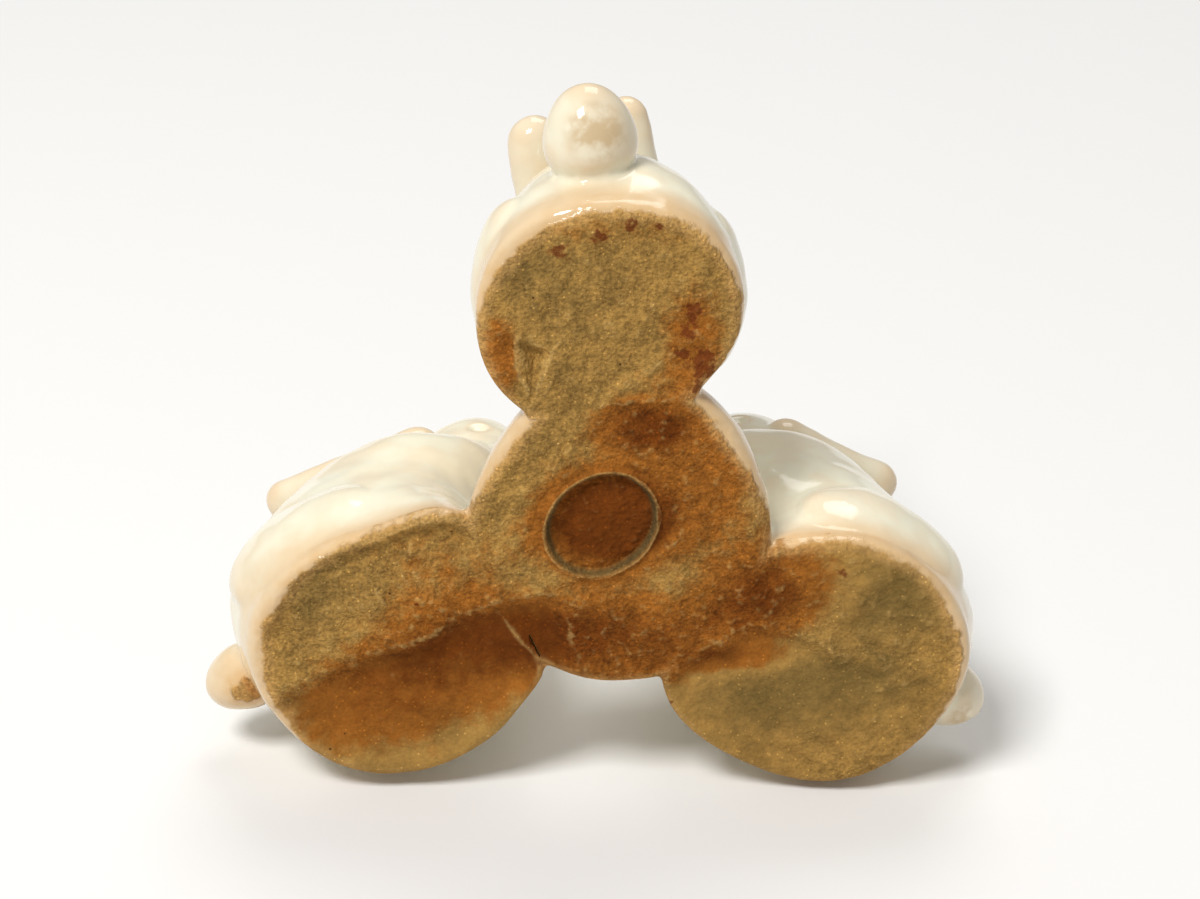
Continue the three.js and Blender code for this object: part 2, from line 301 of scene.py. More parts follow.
whole_mesh = bpy.data.meshes.new("clay")
clay.to_mesh(whole_mesh)
clay.free()
whole = bpy.data.objects.new("clay", whole_mesh)
bpy.context.scene.collection.objects.link(whole)
fuse = whole.modifiers.new("fuse", "REMESH")
fuse.mode = "VOXEL"
fuse.voxel_size = VOXEL
slip = whole.modifiers.new("slip", "SMOOTH")
slip.factor = SMOOTHING
slip.iterations = SMOOTHINGS
fused = bpy.data.meshes.new_from_object(whole.evaluated_get(bpy.context.evaluated_depsgraph_get()))
whole.modifiers.clear()
whole.data = fused
bpy.data.meshes.remove(whole_mesh)

# Telling apart: every facet of the fused skin belongs to the lump whose own surface is nearest. Votes among
# neighbours smooth the seams, strays go to the piece round them, and each facet carries its piece as a mark.
SEAM_REACH = 3
CONTACT = 0.02
DISC_HANDICAP = 0.15
VOTES = 16
TOUCH_ROUNDS = 20
FAR = 1e9


def ends_of(mesh):
    """The two vertices of each edge of a mesh."""
    ends = np.empty(len(mesh.edges) * 2, int)
    mesh.edges.foreach_get("vertices", ends)
    return ends.reshape(-1, 2)


labels = sorted(skins)
centres = np.empty(len(fused.polygons) * 3, np.float32)
fused.polygons.foreach_get("center", centres)
centres = centres.reshape(-1, 3)
owner = np.zeros(len(centres), int)
nearest = np.full(len(centres), FAR)
for index, label in enumerate(labels):
    handicap = DISC_HANDICAP if label == "base_disc" else 0
    for tree in skins[label]:
        for face in np.nonzero(nearest > CONTACT)[0].tolist():
            gap = tree.find_nearest(centres[face], SEAM_REACH)[3]
            if gap is not None and gap + handicap < nearest[face]:
                nearest[face] = gap + handicap
                owner[face] = index

loop_edges = np.empty(len(fused.loops), int)
fused.loops.foreach_get("edge_index", loop_edges)
face_size = np.empty(len(fused.polygons), int)
fused.polygons.foreach_get("loop_total", face_size)
loop_faces = np.repeat(np.arange(len(fused.polygons)), face_size)
# The skin is closed, so each edge has two facets beside it.
sides = loop_faces[np.argsort(loop_edges, kind="stable")].reshape(-1, 2)
for _ in range(VOTES):
    votes = np.zeros((len(owner), len(labels)), int)
    np.add.at(votes, (sides[:, 0], owner[sides[:, 1]]), 1)
    np.add.at(votes, (sides[:, 1], owner[sides[:, 0]]), 1)
    owner = np.where(votes.max(axis=1) > face_size / 2, votes.argmax(axis=1), owner)

stands_for = list(range(len(owner)))


def island_of(face):
    """The face that stands for the patch of one piece that a face lies in."""
    while stands_for[face] != face:
        stands_for[face] = stands_for[stands_for[face]]
        face = stands_for[face]
    return face


for first, second in sides[owner[sides[:, 0]] == owner[sides[:, 1]]].tolist():
    stands_for[island_of(first)] = island_of(second)
island = np.array([island_of(face) for face in range(len(owner))])
patches, patch_sizes = np.unique(island, return_counts=True)
# The largest patch of each piece is kept, and all others are strays.
main_patches = {}
for patch, size in sorted(zip(patches.tolist(), patch_sizes.tolist()), key=lambda pair: pair[1]):
    main_patches[owner[patch]] = patch
strays = ~np.isin(island, list(main_patches.values()))
for patch in patches[np.isin(patches, island[strays])]:
    inner = island[sides] == patch
    across = np.concatenate((sides[inner[:, 0] & ~inner[:, 1], 1], sides[inner[:, 1] & ~inner[:, 0], 0]))
    owner[island == patch] = np.bincount(owner[across]).argmax()

# A piece that touches itself at one point only can't be closed, so the facets round such a point go to the
# piece that has most of them.
loop_points = np.empty(len(fused.loops), int)
fused.loops.foreach_get("vertex_index", loop_points)
edge_ends = ends_of(fused)
for _ in range(TOUCH_ROUNDS):
    seams = owner[sides[:, 0]] != owner[sides[:, 1]]
    touches = np.zeros((len(fused.vertices), len(labels)), int)
    for end in (0, 1):
        for side in (0, 1):
            np.add.at(touches, (edge_ends[seams, end], owner[sides[seams, side]]), 1)
    for point in np.nonzero((touches > 2).any(axis=1))[0]:
        faces = loop_faces[loop_points == point]
        owner[faces] = np.bincount(owner[faces]).argmax()
marks = {bpy.data.materials.new(label).name: label for label in labels}
for mark in marks:
    fused.materials.append(bpy.data.materials[mark])
fused.polygons.foreach_set("material_index", owner.astype(np.int32))
fused.update()

# Handwork: fingers leave the skin slightly uneven. The soft underside was smeared from the disc out over the
# feet, which left two folds, a dent with burrs beside it and the marks of a comb. It was set down on sand.
SOLE_DEPTH = 3.2
FINE_WORK = 0.9
# Each layer of waves has its depth, its pitch and its seed.
FINGER_WAVES = ((0.28, 7.0, 3.0), (0.10, 2.4, 9.0))
FINGERED_FROM = (0.3, 3)
BOARD = 0.24
BOARD_WAVES = ((0.30, 5.0, 5.0),)
RIPPLES = ((0.26, 2.2, 7.0), (0.09, 1.1, 27.0))
SAND = ((0.07, 0.7, 8.0), (0.04, 0.42, 18.0))
EDGE_ROLL = 1.8
EDGE_LIFT = 0.35
CALM_EDGE = 2.5
# Slip fills the corners between the disc and the feet, where two outlines overlap or nearly meet.
CORNER_NEARNESS = (-2.0, -0.4)
CORNER_INSET = (0.1, 0.9)
CORNER_HEIGHT = (1.6, 2.4)
# The paths on the underside are in millimetres from the axis.
FOLDS = (
    ((-30.5, 16.2), (-26.7, 14.0), (-21.4, 11.2), (-16.1, 9.2), (-11.5, 6.2), (-6.5, 5.0)),
    ((4.4, 14.2), (6.8, 11.8), (9.4, 10.2), (11.6, 8.5), (13.6, 7.9), (16.2, 8.5), (19.5, 10.1)),
)
FOLD_DROPS = (0.95, 0.70)
FOLD_FADES = (3, 10)
FOLD_WAVER = ((0.5, 3.2, 15.0), (0.08, 0.9, 16.0))
FOLD_SLOPE = (-0.6, 1.6)
CREST_HEIGHT = 0.13
CREST_BEFORE = 0.7
CREST_WIDTH = 0.9
CREST_SHARE = 0.45
CREST_WAVER = ((0.9, 4, 25.0),)
SMEARED = (0.4, 1.4)
SMEARED_GRAIN = 0.6
SMEARED_RIPPLE = 0.5
RIM_FOLD_DEPTH = 0.7
RIM_FOLD_WIDTHS = (0.8, 3.2)
RIM_FOLD_FADE = 2.5
RIM_FOLD_WAVER = ((0.3, 3, 17.0),)
RIM_FOLD = ((-29.3, 8.5), (-27.6, 4.4), (-24.6, 1.6), (-21.4, 0.2), (-17.6, -1.2), (-12.5, -2.2))
DENT = ((-7.3, -20.1), (-4.7, -18.9), (-6.3, -14.6))
DENT_DEPTH = 1.0
DENT_SLOPE = (-0.2, 1.1)
DENT_WAVER = ((0.25, 1.6, 22.0),)
BURR_FADE = 1.2
BURR_WAVER = ((0.3, 1.8, 23.0),)
# Each burr has its height, its half width and its path.
BURRS = (
    (0.42, 0.34, ((-4.3, -19.1), (-4.7, -17.4), (-5.3, -15.6), (-6.5, -13.6))),
    (0.22, 0.35, ((-7.5, -20.0), (-7.5, -17.6), (-6.7, -15.2))),
    (0.20, 0.60, ((0.8, -15.2), (4.4, -17.7), (7.4, -20.5))),
    (0.18, 0.45, ((0.3, -14.0), (3.6, -14.5), (7.6, -14.5))),
    (0.16, 0.50, ((-24.9, 1.2), (-21.4, -0.2), (-17.4, -1.6))),
)
COMB_CENTRE = (-20.5, 5.0)
COMB_TURN = math.radians(-28)
COMB_PITCH = 0.95
COMB_DEPTH = 0.05
COMB_HALF = (4.5, 3)
COMB_WAVER = ((1.5, 3, 21.0),)


def points_of(mesh):
    """The vertices of a mesh as an array."""
    values = np.empty(len(mesh.vertices) * 3, np.float32)
    mesh.vertices.foreach_get("co", values)
    return values.reshape(-1, 3).astype(float)


def put_points(mesh, values):
    """Moves the vertices of a mesh."""
    mesh.vertices.foreach_set("co", values.astype(np.float32).ravel())
    mesh.update()


def normals_of(mesh):
    """The vertex normals of a mesh as an array."""
    values = np.empty(len(mesh.vertices) * 3, np.float32)
    mesh.vertex_normals.foreach_get("vector", values)
    return values.reshape(-1, 3).astype(float)


def lumps(values, pitch, seed):
    """Smooth noise of about -1 to 1 at each point, with lumps about as far apart as the pitch."""
    offset = Vector((seed, 2 * seed, -seed))
    return np.array([noise.noise(Vector(value) / pitch + offset) for value in values])


def waves(values, layers):
    """Layers of smooth noise, each with its depth, pitch and seed."""
    total = np.zeros(len(values))
    for depth, pitch, seed in layers:
        total = total + depth * lumps(values, pitch, seed)
    return total


def step(value, low, high):
    """0 at low, 1 at high, smooth between."""
    share = np.clip((value - low) / (high - low), 0, 1)
    return share * share * (3 - 2 * share)


def beside(values, path):
    """How far each point lies to the right of a path on the underside, and how far past the path's ends."""
    flat = values[:, :2]
    nearest = np.full(len(flat), FAR)
    aside = np.zeros(len(flat))
    past = np.zeros(len(flat))
    for number, (start, end) in enumerate(zip(path, path[1:])):
        way = np.subtract(end, start)
        length = np.hypot(*way)
        way = way / length
        away = flat - np.array(start)
        run = away @ way
        off = away[:, 0] * -way[1] + away[:, 1] * way[0]
        over = np.maximum(np.maximum(-run, run - length), 0)
        distance = np.hypot(off, over)
        closer = distance < nearest
        nearest = np.where(closer, distance, nearest)
        beyond = np.maximum(-run if number == 0 else 0, run - length if number == len(path) - 2 else 0)
        aside = np.where(closer, np.where(beyond > 0, off, np.where(off < 0, -1, 1) * distance), aside)
        past = np.where(closer, np.maximum(beyond, 0), past)
    return aside, past


def about(values, figure):
    """Direction and distance of points from the middle of a figure's foot, or of the disc for 0."""
    if figure == 0:
        middle, turn = DISC_SHIFT, 0
    else:
        lean, aside = BODIES[figure][0][:2]
        turn = math.radians(ANGLES[figure])
        middle = Matrix.Rotation(turn, 3, "Z") @ Vector((RING_RADIUS - lean, aside, 0))
    x = values[:, 0] - middle.x
    y = values[:, 1] - middle.y
    return np.arctan2(y, x) - turn, np.hypot(x, y)


def inside(values, figure):
    """How far each point lies inside the outline of a figure's foot, or of the disc for 0."""
    turn, away = about(values, figure)
    if figure == 0:
        return reach_at(turn, DISC_HALF, 2, DISC_SWELLS, 0) - away
    return reach_at(turn, BODIES[figure][0][2:], 2 + FOOT_SQUARENESS, BODY_SWELLS[figure], 0) - away


def keep_on_points(name, kind, values):
    """Stores an array on the points of the fused skin."""
    layer = fused.attributes.new(name, kind, "POINT")
    field = "vector" if kind == "FLOAT_VECTOR" else "value"
    layer.data.foreach_set(field, values.astype(np.float32).ravel())


def refine(mesh, chosen):
    """Splits the edges between chosen points, so that finer work holds there."""
    form = bmesh.new()
    form.from_mesh(mesh)
    edges = [edge for edge in form.edges if chosen[edge.verts[0].index] and chosen[edge.verts[1].index]]
    bmesh.ops.subdivide_edges(form, edges=edges, cuts=1, use_grid_fill=True)
    form.to_mesh(mesh)
    form.free()


refine(fused, points_of(fused)[:, 2] < FINE_WORK)
points = points_of(fused)
normals = normals_of(fused)
for eye in eyes:
    away = np.linalg.norm(points - np.array(eye), axis=1)
    points -= normals * (EYE_DEPTH * np.exp(-(away / EYE_RADIUS) ** 4))[:, None]
height = points[:, 2].copy()
points += normals * (waves(points, FINGER_WAVES) * step(height, *FINGERED_FROM))[:, None]

low = np.nonzero(height < SOLE_DEPTH)[0]
sole = (points[low] - AXIS) * (1, 1, 0)
recess = BOARD + waves(sole, BOARD_WAVES)
ripple = waves(sole, RIPPLES)
grain = waves(sole, SAND)
reaches = np.sort([inside(sole, figure) for figure in (0, 1, 2, 3)], axis=0)
edge = reaches[-1]
filled = step(reaches[-2], *CORNER_NEARNESS) * step(edge, *CORNER_INSET)
filled = filled * (1 - step(height[low], *CORNER_HEIGHT))
height[low] *= 1 - filled
recess += EDGE_LIFT * np.clip(1 - edge / EDGE_ROLL, 0, 1) ** 2
for path, drop, fade in zip(FOLDS, FOLD_DROPS, FOLD_FADES):
    aside, past = beside(sole, path)
    aside = aside + waves(sole, FOLD_WAVER)
    whole_way = 1 - step(past, 0, fade)
    crest = np.clip(CREST_SHARE + waves(sole, CREST_WAVER), 0, 1)
    recess += whole_way * drop * step(aside, *FOLD_SLOPE)
    recess -= whole_way * crest * CREST_HEIGHT * np.exp(-((aside + CREST_BEFORE) / CREST_WIDTH) ** 2)
    grain *= 1 - SMEARED_GRAIN * whole_way * step(aside, *SMEARED)
    ripple *= 1 - SMEARED_RIPPLE * whole_way * step(aside, *SMEARED)
recess += grain + ripple
aside, past = beside(sole, RIM_FOLD)
aside = aside + waves(sole, RIM_FOLD_WAVER)
valley = np.exp(-(aside / np.where(aside < 0, *RIM_FOLD_WIDTHS)) ** 2)
recess += (1 - step(past, 0, RIM_FOLD_FADE)) * RIM_FOLD_DEPTH * valley
for burr_height, width, path in BURRS:
    aside, past = beside(sole, path)
    aside = aside + waves(sole, BURR_WAVER)
    recess -= (1 - step(past, 0, BURR_FADE)) * burr_height * np.exp(-(aside / width) ** 2)
depth_in_dent = np.full(len(sole), FAR)
for start, end in zip(DENT, DENT[1:] + DENT[:1]):
    way = np.subtract(end, start) / math.dist(end, start)
    away = sole[:, :2] - np.array(start)
    depth_in_dent = np.minimum(depth_in_dent, away[:, 1] * way[0] - away[:, 0] * way[1])
depth_in_dent = depth_in_dent + waves(sole, DENT_WAVER)
recess += DENT_DEPTH * step(depth_in_dent, *DENT_SLOPE)
x = sole[:, 0] - COMB_CENTRE[0]
y = sole[:, 1] - COMB_CENTRE[1]
combed = x * math.cos(COMB_TURN) + y * math.sin(COMB_TURN)
stroke = y * math.cos(COMB_TURN) - x * math.sin(COMB_TURN)
comb_fade = np.exp(-(combed / COMB_HALF[0]) ** 2 - (stroke / COMB_HALF[1]) ** 2)
recess += comb_fade * COMB_DEPTH * np.sin(2 * math.pi * combed / COMB_PITCH + waves(sole, COMB_WAVER))
recess *= 0.4 + 0.6 * step(edge, 0, CALM_EDGE)
points[low, 2] = height[low] + np.maximum(recess, 0) * (1 - step(height[low], 0, SOLE_DEPTH))
points[:, 2] = np.clip(points[:, 2], 0, HEIGHT)
put_points(fused, points)
# `level` is the height without this relief, by which the glaze is wiped.
keep_on_points("level", "FLOAT", height)

# Seal: a bare oval pressed into the disc's underside before firing, with a low burr pushed up round it.
# Its floor is rough, with a faint inner ring. Radii are shares of the oval's own.
STAMP_CENTRE = (-0.4, -2.4)
STAMP_HALF = (5.3, 4.5)
STAMP_TURN = math.radians(-50)
STAMP_DEPTH = 0.62
STAMP_WALL = (0.90, 0.985)
STAMP_BURR = 0.26
STAMP_BURR_RADIUS = 1.03
STAMP_BURR_WIDTH = 0.045
STAMP_RING = 0.05
STAMP_RING_RADIUS = 0.74
STAMP_RING_WIDTH = 0.06
STAMP_FLOOR = ((0.07, 1.1, 24.0), (0.05, 0.5, 26.0))
STAMP_FLOOR_RADIUS = 0.92
STAMP_ZONE = 1.25
STAMP_UP_TO = (1.2, 1.6)


def stamp_radius(values):
    """Distance from the seal's centre, 1 on its edge."""
    x = values[:, 0] - STAMP_CENTRE[0]
    y = values[:, 1] - STAMP_CENTRE[1]
    lengthwise = x * math.cos(STAMP_TURN) + y * math.sin(STAMP_TURN)
    across = y * math.cos(STAMP_TURN) - x * math.sin(STAMP_TURN)
    return np.hypot(lengthwise / STAMP_HALF[0], across / STAMP_HALF[1])


refine(fused, (stamp_radius(points - AXIS) < STAMP_ZONE) & (points[:, 2] < STAMP_UP_TO[0]))
points = points_of(fused)
radius = stamp_radius(points - AXIS)
flat_side = step(-points[:, 2], -STAMP_UP_TO[1], -STAMP_UP_TO[0])
pressed = STAMP_DEPTH * (1 - step(radius, *STAMP_WALL))
pressed = pressed - STAMP_BURR * np.exp(-((radius - STAMP_BURR_RADIUS) / STAMP_BURR_WIDTH) ** 2)
raised = STAMP_RING * np.exp(-((radius - STAMP_RING_RADIUS) / STAMP_RING_WIDTH) ** 2)
middle = np.nonzero((radius < STAMP_FLOOR_RADIUS) & (points[:, 2] < STAMP_UP_TO[1]))[0]
raised[middle] += waves(points[middle], STAMP_FLOOR)
points[:, 2] = np.maximum(points[:, 2] + flat_side * (pressed - raised), 0)
put_points(fused, points)

# Glaze and fire: the rest was dipped in glaze and its underside wiped clean, so the glaze ends in a line on
# the rounded edge, thin and tan beside it. The kiln toasted the bare clay brown where the heat reached it,
# and iron in the clay left rusty spots.
WIPED_HEIGHT = 1.5
WIPED_SLOPE = 1.2
WIPED_WAVER = ((0.35, 4, 11.0), (0.2, 1.4, 12.0))
FULLY_GLAZED = -9.0
# How far in from the outline the glaze of each foot, and of the disc as 0, is wiped. A bulge moves that line
# further in: towards how many degrees, how widely, by how much.
WIPED = {
    0: (0.0, ((-50, 22, 1.0), (-130, 24, 0.9))),
    1: (0.15, ((-58, 34, 1.0), (0, 45, 0.4), (75, 40, 0.2), (-118, 30, -0.3))),
    2: (0.0, ((-100, 40, 0.3), (-35, 35, 0.8), (90, 50, -0.6))),
    3: (0.0, ((60, 38, 1.1), (15, 30, 0.8), (-90, 50, -0.6))),
}
# A rubbed spot on a tail: the figure, the place from the ring, the radius and how bare it is at most.
BARE_SPOT = (3, (15.4, 1.0, 5.0), 1.5, 0.6)
BARE_SPOT_WAVER = ((0.3, 0.8, 19.0),)
BARE_SPOT_SLOPE = 0.8
# Sandy patches in the glaze of two tails: the figure, the place from the ring and the radius.
SANDY = (
    (1, (14.8, -0.8, 4.6), 3.4),
    (2, (16.5, 1.0, 4.8), 2.0),
)
SANDY_CORE = 0.4
TOAST_WAVES = ((0.10, 5, 13.0), (0.07, 1.6, 14.0))
# Toasted ovals of the underside: the middle, the half sizes, the turn in degrees, and how much they toast it.
# Those below 0 stayed cool and olive.
TOASTED = (
    ((7.2, -7.8), (7, 8), 0, 0.50),
    ((2.9, -12.0), (4.5, 2.4), 0, 0.62),
    ((1.2, 9.8), (12, 5), 0, 0.74),
    ((11.7, 4.8), (5, 4), 0, 0.36),
    ((16.1, 3.8), (6, 5.4), 0, 0.56),
    ((12.2, 11.4), (4.8, 1.5), -4, 0.45),
    ((-16.4, 13.6), (13.5, 5.6), -24, 0.70),
    ((-13, 8), (7, 3), -28, 0.22),
    ((-16, 3), (8, 4.5), -20, 0.26),
    ((-8.9, -18.4), (1.8, 4.2), 0, 0.50),
    ((7.2, -19.8), (2.8, 5.0), 0, 0.36),
    ((0.5, -29.6), (7, 1.5), 0, 0.22),
    ((-0.4, -2.4), (5.8, 5.1), 0, 1.1),
    ((-32.9, 17.8), (2, 2), 0, 0.35),
    ((24.5, 4.0), (6.5, 5.5), 0, -0.36),
    ((17, 14.5), (11, 5), 0, -0.34),
    ((-24, 4.5), (5, 3.5), -20, -0.24),
    ((-5, -25), (6, 5), 0, -0.18),
)
# Rusty spots: the middle and the radius.
IRON = (
    ((8.2, -17.8), 1.5), ((7.9, -15.6), 1.0), ((6.9, -20.9), 0.9), ((7.2, -22.6), 1.0), ((6.5, -18.9), 0.7),
    ((2.0, -30.4), 0.6), ((4.3, -30.3), 0.45), ((10.3, -24.0), 0.35), ((-3.8, -28.0), 0.9),
    ((-0.5, -29.3), 0.8), ((20.5, 2.3), 0.5), ((17.0, 13.2), 0.25), ((5.9, 16.0), 0.3), ((-16.6, 5.5), 0.25),
)
# Smeared smooth: the middle and the half sizes.
POLISHED = (((24, 3.5), (8, 8)), ((20, 16), (14, 6)), ((-0.4, -2.4), (5.0, 4.3)))
# Where the seal's wall is painted dark as shade: the ring's radius, as a share of the oval's, and its width.
WALL_SHADE_RADIUS = 0.955
WALL_SHADE_WIDTH = 0.05
AVERAGING = 16


def spot(values, centre, half, turn):
    """A soft round or oval spot on the underside, 1 at its middle."""
    x = values[:, 0] - centre[0]
    y = values[:, 1] - centre[1]
    turn = math.radians(turn)
    lengthwise = (x * math.cos(turn) + y * math.sin(turn)) / half[0]
    across = (y * math.cos(turn) - x * math.sin(turn)) / half[1]
    return np.exp(-(lengthwise ** 2 + across ** 2) ** 1.5)


normals = normals_of(fused)
plan = points - AXIS
low = points[:, 2] < SOLE_DEPTH
flat = plan[low] * (1, 1, 0)
waver = np.zeros(len(points))
waver[low] = waves(flat, WIPED_WAVER)
bare = np.full(len(points), FULLY_GLAZED)
for figure, (margin, bulges) in WIPED.items():
    turn = np.degrees(about(plan, figure)[0])
    for towards, spread, amount in bulges:
        margin = margin + amount * np.exp(-(((turn - towards + 180) % 360 - 180) / spread) ** 2)
    bare = np.maximum(bare, inside(plan, figure) - margin - waver)
level = np.empty(len(points), np.float32)
fused.attributes["level"].data.foreach_get("value", level)
bare = np.minimum(bare, (WIPED_HEIGHT - level) * WIPED_SLOPE)
figure, place, radius, most = BARE_SPOT
centre = stand(figure) @ (Vector(place) + Vector((RING_RADIUS, 0, 0)))
reach = radius + waves(points, BARE_SPOT_WAVER) - np.linalg.norm(points - np.array(centre), axis=1)
bare = np.maximum(bare, np.minimum(reach * BARE_SPOT_SLOPE, most))

toast = np.zeros(len(points))
toast[low] = waves(flat, TOAST_WAVES)
for centre, half, turn, strength in TOASTED:
    toast = toast + strength * spot(plan, centre, half, turn)
iron = np.zeros(len(points))
for centre, radius in IRON:
    iron = np.maximum(iron, spot(plan, centre, (radius, radius), 0))
polish = np.zeros(len(points))
for path, fade in zip(FOLDS, FOLD_FADES):
    aside, past = beside(plan, path)
    polish = np.maximum(polish, (1 - step(past, 0, fade)) * step(aside, *SMEARED))
for centre, half in POLISHED:
    polish = np.maximum(polish, spot(plan, centre, half, 0))
radius = stamp_radius(plan)
# A ring of painted shade where the seal's wall lies in shadow.
wall_shade = np.exp(-((radius - WALL_SHADE_RADIUS) / WALL_SHADE_WIDTH) ** 2)

sandy = np.zeros(len(points))
for figure, place, radius in SANDY:
    centre = stand(figure) @ (Vector(place) + Vector((RING_RADIUS, 0, 0)))
    away = np.linalg.norm(points - np.array(centre), axis=1)
    sandy = np.maximum(sandy, 1 - step(away, SANDY_CORE * radius, radius))

# Glaze runs thin where the skin bulges out from its own average, and pools where it lies in.
edge_ends = ends_of(fused)
valence = np.bincount(edge_ends.ravel(), minlength=len(points))
soft = points.copy()
for _ in range(AVERAGING):
    around = np.zeros_like(soft)
    for axis in range(3):
        around[:, axis] = np.bincount(edge_ends[:, 0], soft[edge_ends[:, 1], axis], len(points))
        around[:, axis] += np.bincount(edge_ends[:, 1], soft[edge_ends[:, 0], axis], len(points))
    soft = 0.4 * soft + 0.6 * around / valence[:, None]
fullness = np.einsum("ij,ij->i", points - soft, normals)

# `bare` is how many millimetres a point lies inside the wiped part, `fullness` how far the skin bulges there,
# and `toast` runs from 0, sand, to 1, dark brown. `skin` is the skin's direction. The rest run from 0 to 1.
keep_on_points("bare", "FLOAT", bare)
keep_on_points("fullness", "FLOAT", fullness)
keep_on_points("toast", "FLOAT", toast)
keep_on_points("iron", "FLOAT", iron)
keep_on_points("polish", "FLOAT", polish)
keep_on_points("wall_shade", "FLOAT", wall_shade)
keep_on_points("sandy", "FLOAT", sandy)
keep_on_points("skin", "FLOAT_VECTOR", normals)

# The glaze: thick, warm, thin on a bulge, pooled, near the wiped line, at its last edge, sandy, and speckled.
CREAM = (0.82, 0.78, 0.61)
WARM_CREAM = (0.80, 0.70, 0.51)
THIN_GLAZE = (0.73, 0.52, 0.31)
POOLED_GLAZE = (0.83, 0.77, 0.56)
TAN_GLAZE = (0.71, 0.51, 0.29)
GLAZE_EDGE = (0.66, 0.42, 0.19)
SANDY_GLAZE = (0.55, 0.38, 0.19)
GLAZE_SPECK = (0.30, 0.16, 0.07)
# The clay: cool, plain, toasted, dark, touched by glaze, rubbed and lit by a painted highlight on bulges, in
# painted shade on the seal's wall, speckled, and rusty.
OLIVE_CLAY = (0.205, 0.125, 0.034)
SAND_CLAY = (0.330, 0.185, 0.047)
TOASTED_CLAY = (0.290, 0.102, 0.014)
DARK_CLAY = (0.135, 0.034, 0.003)
TOUCHED_CLAY = (0.54, 0.31, 0.11)
RUBBED_AND_HIGHLIT_CLAY = (0.48, 0.30, 0.10)
WALL_SHADE = (0.09, 0.07, 0.025)
CLAY_SPECK = (0.08, 0.035, 0.010)
RUST = (0.14, 0.028, 0.006)
GLAZE_ROUGHNESS = 0.12
CLAY_ROUGHNESS = 0.9
GLAZE_SHINE = 0.5
CLAY_SHINE = 0.1
GRAIN_RELIEF = 0.22
RELIEF_STRENGTH = 0.9


